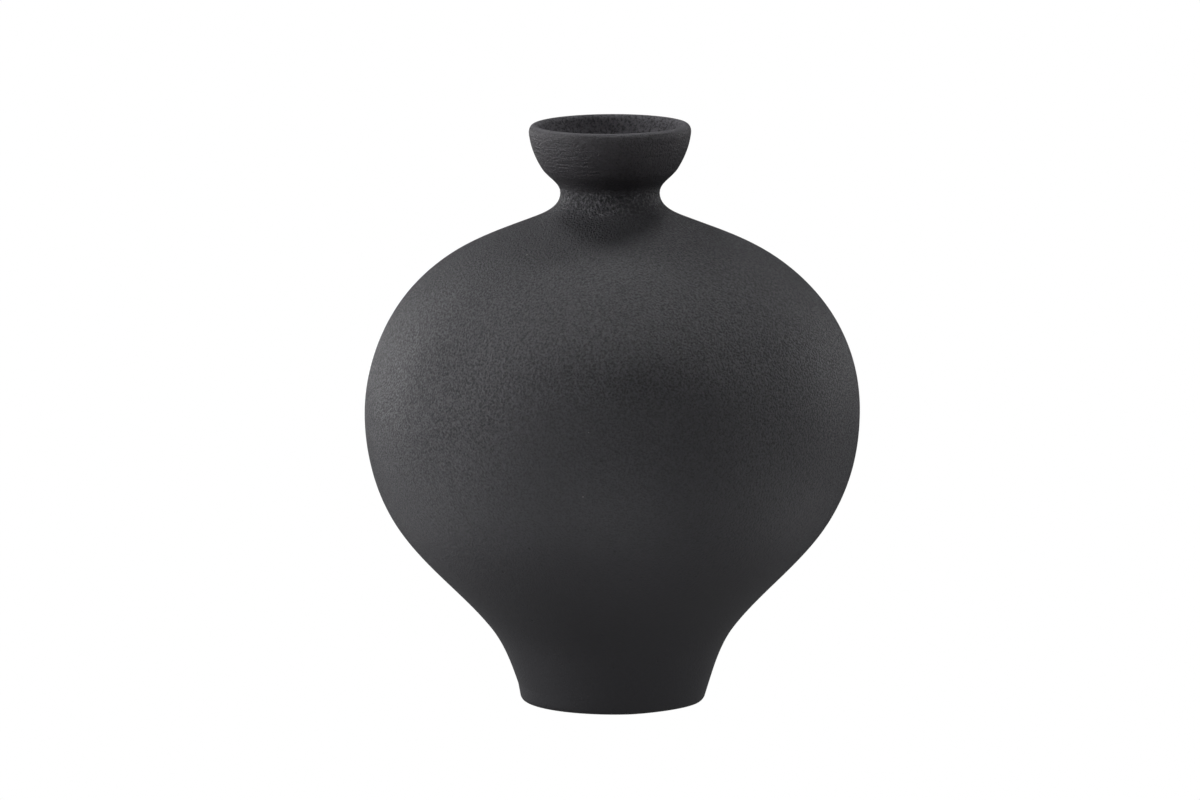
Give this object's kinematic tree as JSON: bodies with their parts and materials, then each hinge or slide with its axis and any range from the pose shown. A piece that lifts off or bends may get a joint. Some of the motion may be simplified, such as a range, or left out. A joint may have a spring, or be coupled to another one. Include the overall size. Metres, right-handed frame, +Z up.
{
  "type": "clay pot",
  "caption": "Round black clay pot with a wide belly, a tapering foot, a pinched neck and a small bowl-shaped mouth with a rounded lip.",
  "frame": {"origin": "centre of the resting face, on the pot's axis", "axes": "+Z up along the pot's axis to the mouth; the pot is round, so +X and +Y are any two level directions"},
  "size_m": [0.255, 0.255, 0.3],
  "materials": {
    "black_clay": "unburnished matte, fine sandy grain",
    "slip": "dried slip, dull"
  },
  "bodies": {
    "root": {"base_slab": "black_clay", "foot_wall": "black_clay", "lower_bowl": "black_clay", "belly_band": "black_clay", "upper_belly": "black_clay", "crown_band": "black_clay", "shoulder_dome": "black_clay", "neck_collar": "black_clay", "mouth_cup": "black_clay", "lip_coil": "black_clay", "foot_seam_slip": "slip", "waist_seam_slip": "slip", "bowl_seam_slip": "slip", "belly_seam_slip": "slip", "crown_seam_slip": "slip", "upper_seam_slip": "slip", "shoulder_seam_slip": "slip", "cup_seam_slip": "slip", "lip_seam_slip": "slip"}
  },
  "joints": []
}
